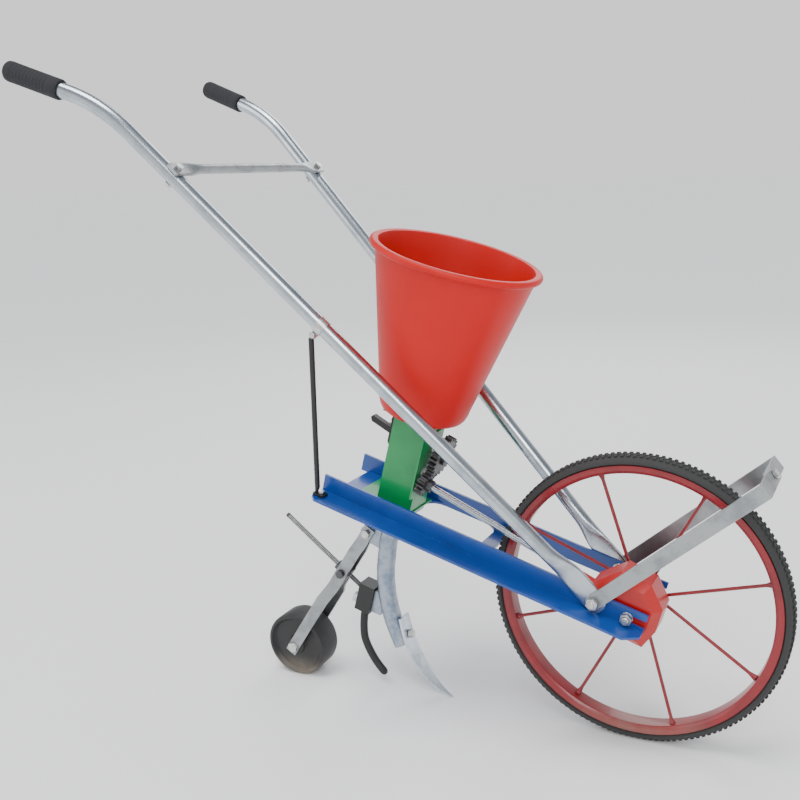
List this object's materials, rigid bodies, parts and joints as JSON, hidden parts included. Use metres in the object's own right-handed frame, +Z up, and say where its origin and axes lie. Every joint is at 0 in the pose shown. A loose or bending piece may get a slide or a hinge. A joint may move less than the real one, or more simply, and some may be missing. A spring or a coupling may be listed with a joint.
{
  "type": "push seeder",
  "caption": "Hand-pushed seed drill for a single row: spoked front wheel, twin handles, cup hopper, geared seed metering, furrow opener, covering tine and press roller.",
  "frame": {"origin": "bottom centre of the bounding box, on the ground that the wheel, the opener share and the press roller stand on", "axes": "+X forward, from the handles to the wheel; +Y to the left of the person pushing; +Z up"},
  "size_m": [1.082, 0.441, 1.006],
  "materials": {
    "rail_blue": "satin",
    "green_paint": "satin",
    "hopper_red": "semi-gloss",
    "guard_red": "satin",
    "rim_red": "satin",
    "bright_tube": "bright",
    "steel": "satin",
    "dark_steel": "dull",
    "cast_grey": "rough",
    "black_paint": "satin",
    "tyre_rubber": "dusty",
    "grip_rubber": "matt",
    "roller_black": "matt",
    "seed_plastic": "matt",
    "bristle": "matt"
  },
  "bodies": {
    "frame": {"right_rail": "rail_blue", "left_rail": "rail_blue", "rear_cross_plate": "rail_blue", "front_cross_member": "rail_blue", "gear_guard": "guard_red", "axle": "steel", "axle_nut_right": "steel", "axle_nut_left": "steel", "metering_housing": "green_paint", "housing_base_plate": "green_paint", "gear_plate": "green_paint", "seed_brush": "bristle", "hopper": "hopper_red", "right_handle_tube": "bright_tube", "left_handle_tube": "bright_tube", "right_grip": "grip_rubber", "left_grip": "grip_rubber", "handle_crossbar": "steel", "crossbar_bolt_right": "steel", "crossbar_bolt_left": "steel", "handle_bolt_right": "steel", "handle_bolt_left": "steel", "support_clamp": "dark_steel", "support_rod": "black_paint", "support_bolt": "steel", "opener_tube": "cast_grey", "opener_share": "steel", "share_bolt": "steel", "tine_clamp": "black_paint", "tine_clamp_bolt": "steel", "covering_tine": "black_paint", "arm_pivot_bolt": "steel", "depth_screw": "steel"},
    "front_wheel": {"wheel_hub": "rim_red", "wheel_rim": "rim_red", "spoke_1": "rim_red", "spoke_2": "rim_red", "spoke_3": "rim_red", "spoke_4": "rim_red", "spoke_5": "rim_red", "spoke_6": "rim_red", "spoke_7": "rim_red", "spoke_8": "rim_red", "tyre": "tyre_rubber", "wheel_bevel_gear": "dark_steel"},
    "drive_line": {"drive_shaft": "bright_tube", "drive_pinion": "dark_steel", "bevel_pinion": "dark_steel"},
    "metering": {"metering_shaft": "steel", "metering_gear": "dark_steel", "seed_roller": "seed_plastic"},
    "tow_frame": {"tow_bar_right": "steel", "tow_bar_left": "steel", "tow_bolt": "steel"},
    "press_arms": {"press_arm_right": "steel", "press_arm_left": "steel", "roller_axle": "steel"},
    "press_roller": {"press_roller": "roller_black"},
    "depth_block": {"depth_block": "dark_steel"},
    "seed_gate": {"seed_gate_lever": "black_paint"}
  },
  "joints": [
    {"name": "wheel_spin", "type": "hinge", "parent": "frame", "child": "front_wheel", "pos_m": [0.316, 0, 0.225], "axis": [0, 1, 0], "continuous": true},
    {"name": "drive_spin", "type": "hinge", "parent": "frame", "child": "drive_line", "pos_m": [0.316, -0.028, 0.225], "axis": [0.9021, 0, -0.4315], "continuous": true},
    {"name": "metering_spin", "type": "hinge", "parent": "frame", "child": "metering", "pos_m": [0.00343, 0, 0.41974], "axis": [0.9021, 0, -0.4315], "continuous": true},
    {"name": "tow_frame_pivot", "type": "hinge", "parent": "frame", "child": "tow_frame", "pos_m": [0.26898, 0, 0.24565], "axis": [0, 1, 0], "range_deg": [-45, 35]},
    {"name": "press_arm_pivot", "type": "hinge", "parent": "frame", "child": "press_arms", "pos_m": [-0.13888, 0, 0.27626], "axis": [0, 1, 0], "range_deg": [-5, 5]},
    {"name": "depth_block_pivot", "type": "hinge", "parent": "press_arms", "child": "depth_block", "pos_m": [-0.19088, 0, 0.20036], "axis": [0, 1, 0], "range_deg": [-5, 5]},
    {"name": "roller_spin", "type": "hinge", "parent": "press_arms", "child": "press_roller", "pos_m": [-0.2898, 0, 0.056], "axis": [0, 1, 0], "continuous": true},
    {"name": "seed_gate_pivot", "type": "hinge", "parent": "frame", "child": "seed_gate", "pos_m": [-0.06353, -0.017, 0.47487], "axis": [0.9563, 0, -0.2924], "range_deg": [-15, 0]}
  ],
  "couplings": [
    {"joint": "drive_spin", "follows": "wheel_spin", "ratio": 2},
    {"joint": "metering_spin", "follows": "wheel_spin", "ratio": -1.1429},
    {"joint": "depth_block_pivot", "follows": "press_arm_pivot", "ratio": -1}
  ]
}
